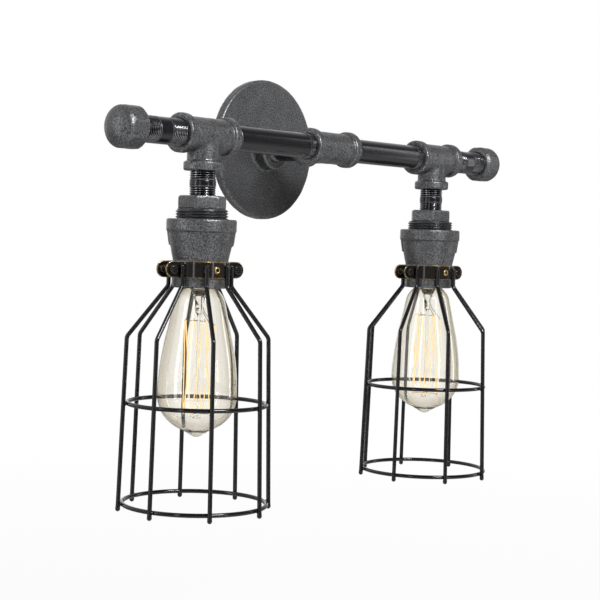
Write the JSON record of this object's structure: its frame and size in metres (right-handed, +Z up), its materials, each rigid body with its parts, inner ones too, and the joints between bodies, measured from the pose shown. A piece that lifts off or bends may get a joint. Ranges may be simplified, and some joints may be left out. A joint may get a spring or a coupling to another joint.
{
  "type": "industrial pipe wall light",
  "caption": "Wall light of black iron pipe fittings: round wall plate, stand-off pipe and bar with end caps, and caged hanging lamps with drop-shaped filament bulbs.",
  "frame": {"origin": "centre of the wall plate's back, in the wall plane", "axes": "+X along the bar, +Y into the wall (the light stands out along -Y), +Z up"},
  "size_m": [0.5002, 0.1577, 0.3625],
  "materials": {
    "amber_glass": "clear glass with a faint amber tint, glossy",
    "base_metal": "polished brass",
    "black_glass": "black vitrite",
    "black_pipe": "black pipe, semi-gloss, with brighter thread crests",
    "brass": "plain brass",
    "cage_enamel": "gloss black enamel over brass and steel",
    "cast_iron_fitting": "speckled dark grey casting, satin, lightly oiled",
    "clear_glass": "clear glass",
    "filament_wire": "thin warm-coloured filament, unlit",
    "green_screw": "green, the colour of an earth screw",
    "holder_body": "black moulded phenolic",
    "holder_steel": "plain steel",
    "lead_insulation": "matt insulation",
    "support_wire": "dull steel wire",
    "zinc_screw": "dull zinc"
  },
  "bodies": {
    "wall_frame": {"wall_plate": "cast_iron_fitting", "plate_screws": "zinc_screw", "ground_screw": "green_screw", "standoff_nipple": "black_pipe", "centre_tee": "cast_iron_fitting", "bar_leads": "lead_insulation", "left_bar_pipe": "black_pipe", "right_bar_pipe": "black_pipe"},
    "left_lamp": {"left_tee": "cast_iron_fitting", "left_end_nipple": "black_pipe", "left_end_cap": "cast_iron_fitting", "left_drop_nipple": "black_pipe", "left_hex_bushing": "cast_iron_fitting", "left_bell_reducer": "cast_iron_fitting", "left_holder_hanger": "holder_steel", "left_holder_stem": "holder_steel", "left_stem_nuts": "holder_steel", "left_lamp_holder": "holder_body", "left_holder_shell": "brass", "left_holder_contact": "brass", "left_lamp_leads": "lead_insulation"},
    "left_bulb": {"left_bulb_base": "base_metal", "left_bulb_insulator": "black_glass", "left_bulb_glass": "amber_glass", "left_bulb_mount": "clear_glass", "left_bulb_filament": "filament_wire", "left_bulb_supports": "support_wire"},
    "left_cage": {"left_clamp_front": "cage_enamel", "left_clamp_back": "cage_enamel", "left_cage_wires": "cage_enamel", "left_cage_rings": "cage_enamel", "left_clamp_nuts": "cage_enamel"},
    "left_outer_clamp_screw": {"left_outer_screw": "cage_enamel"},
    "left_inner_clamp_screw": {"left_inner_screw": "cage_enamel"},
    "right_lamp": {"right_tee": "cast_iron_fitting", "right_end_nipple": "black_pipe", "right_end_cap": "cast_iron_fitting", "right_drop_nipple": "black_pipe", "right_hex_bushing": "cast_iron_fitting", "right_bell_reducer": "cast_iron_fitting", "right_holder_hanger": "holder_steel", "right_holder_stem": "holder_steel", "right_stem_nuts": "holder_steel", "right_lamp_holder": "holder_body", "right_holder_shell": "brass", "right_holder_contact": "brass", "right_lamp_leads": "lead_insulation"},
    "right_bulb": {"right_bulb_base": "base_metal", "right_bulb_insulator": "black_glass", "right_bulb_glass": "amber_glass", "right_bulb_mount": "clear_glass", "right_bulb_filament": "filament_wire", "right_bulb_supports": "support_wire"},
    "right_cage": {"right_clamp_front": "cage_enamel", "right_clamp_back": "cage_enamel", "right_cage_wires": "cage_enamel", "right_cage_rings": "cage_enamel", "right_clamp_nuts": "cage_enamel"},
    "right_outer_clamp_screw": {"right_outer_screw": "cage_enamel"},
    "right_inner_clamp_screw": {"right_inner_screw": "cage_enamel"}
  },
  "joints": [
    {"name": "left_lamp_swivel", "type": "hinge", "parent": "wall_frame", "child": "left_lamp", "pos_m": [-0.1529, -0.0815, 0], "axis": [-1, 0, 0], "range_deg": [-3, 90]},
    {"name": "left_bulb_removal", "type": "slide", "parent": "left_lamp", "child": "left_bulb", "axis": [0, 0, -1], "range_m": [0, 0.2]},
    {"name": "left_cage_drop", "type": "slide", "parent": "left_lamp", "child": "left_cage", "axis": [0, 0, -1], "range_m": [0, 0.024]},
    {"name": "left_outer_clamp_screw_turn", "type": "hinge", "parent": "left_cage", "child": "left_outer_clamp_screw", "pos_m": [-0.18274, -0.0757, -0.107], "axis": [-0.1908, -0.9816, 0], "range_deg": [0, 1080]},
    {"name": "left_inner_clamp_screw_turn", "type": "hinge", "parent": "left_cage", "child": "left_inner_clamp_screw", "pos_m": [-0.12306, -0.0873, -0.107], "axis": [-0.1908, -0.9816, 0], "range_deg": [0, 1080]},
    {"name": "right_lamp_swivel", "type": "hinge", "parent": "wall_frame", "child": "right_lamp", "pos_m": [0.1529, -0.0815, 0], "axis": [-1, 0, 0], "range_deg": [-3, 90]},
    {"name": "right_bulb_removal", "type": "slide", "parent": "right_lamp", "child": "right_bulb", "axis": [0, 0, -1], "range_m": [0, 0.2]},
    {"name": "right_cage_drop", "type": "slide", "parent": "right_lamp", "child": "right_cage", "axis": [0, 0, -1], "range_m": [0, 0.024]},
    {"name": "right_outer_clamp_screw_turn", "type": "hinge", "parent": "right_cage", "child": "right_outer_clamp_screw", "pos_m": [0.18274, -0.0873, -0.107], "axis": [-0.1908, -0.9816, 0], "range_deg": [0, 1080]},
    {"name": "right_inner_clamp_screw_turn", "type": "hinge", "parent": "right_cage", "child": "right_inner_clamp_screw", "pos_m": [0.12306, -0.0757, -0.107], "axis": [-0.1908, -0.9816, 0], "range_deg": [0, 1080]}
  ]
}
